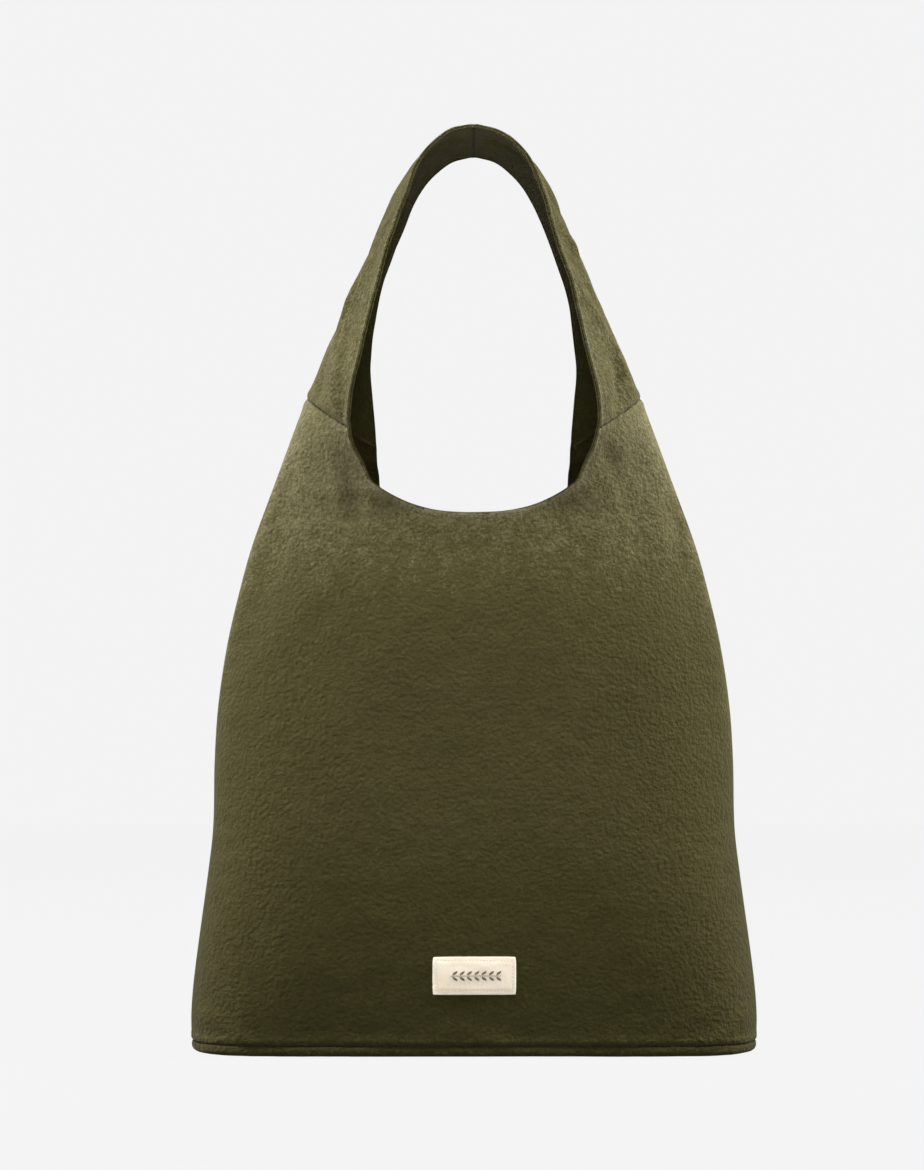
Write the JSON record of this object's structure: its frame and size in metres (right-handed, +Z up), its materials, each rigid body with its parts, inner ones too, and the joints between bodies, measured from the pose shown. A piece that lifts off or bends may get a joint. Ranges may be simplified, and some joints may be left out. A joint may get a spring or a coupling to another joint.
{
  "type": "hobo bag",
  "caption": "Large slouchy canvas shoulder bag with one wide folded strap, scooped open mouth, flat base, inner zip pocket and magnetic snap.",
  "frame": {"origin": "middle of the base on the floor", "axes": "+X to the bag's right, +Y to its back, +Z up; the front with the label faces -Y"},
  "size_m": [0.4162, 0.1328, 0.682],
  "materials": {
    "canvas": "washed cotton canvas, mottled olive",
    "lining": "plain cotton lining, dark olive",
    "label_cloth": "fine woven cream cotton",
    "stiffener": "needled felt",
    "zip_tape": "herringbone tape",
    "metal": "antique brass plating"
  },
  "bodies": {
    "root": {"front_panel": "canvas", "back_panel": "canvas", "base_panel": "canvas", "horn_left": "canvas", "horn_right": "canvas", "front_lining": "lining", "back_lining": "lining", "base_lining": "lining", "horn_lining_left": "lining", "horn_lining_right": "lining", "zip_facing": "lining", "pocket_bag": "lining", "base_stiffener": "stiffener", "label": "label_cloth", "snap_front": "metal", "snap_back": "metal", "snap_washer_front": "metal", "snap_washer_back": "metal", "zip_tape_lower": "zip_tape", "zip_tape_upper": "zip_tape", "zip_teeth_lower": "metal", "zip_teeth_upper": "metal", "zip_stop_open": "metal", "zip_stop_closed": "metal"},
    "strap": {"strap_left": "canvas", "strap_right": "canvas", "strap_lining_left": "lining", "strap_lining_right": "lining"},
    "slider": {"zip_slider": "metal"},
    "puller": {"zip_puller": "metal"}
  },
  "joints": [
    {"name": "strap_fold", "type": "hinge", "parent": "root", "child": "strap", "pos_m": [0, -0.01, 0.47], "axis": [1, 0, 0], "range_deg": [-90, 90], "deforming": ["horn_left", "horn_right", "horn_lining_left", "horn_lining_right"]},
    {"name": "zip_slide", "type": "slide", "parent": "root", "child": "slider", "axis": [-1, 0, 0], "range_m": [0, 0.143]},
    {"name": "puller_swing", "type": "hinge", "parent": "slider", "child": "puller", "pos_m": [0.0715, 0.03747, 0.29954], "axis": [0, -0.1291, 0.9916], "range_deg": [0, 156]}
  ]
}
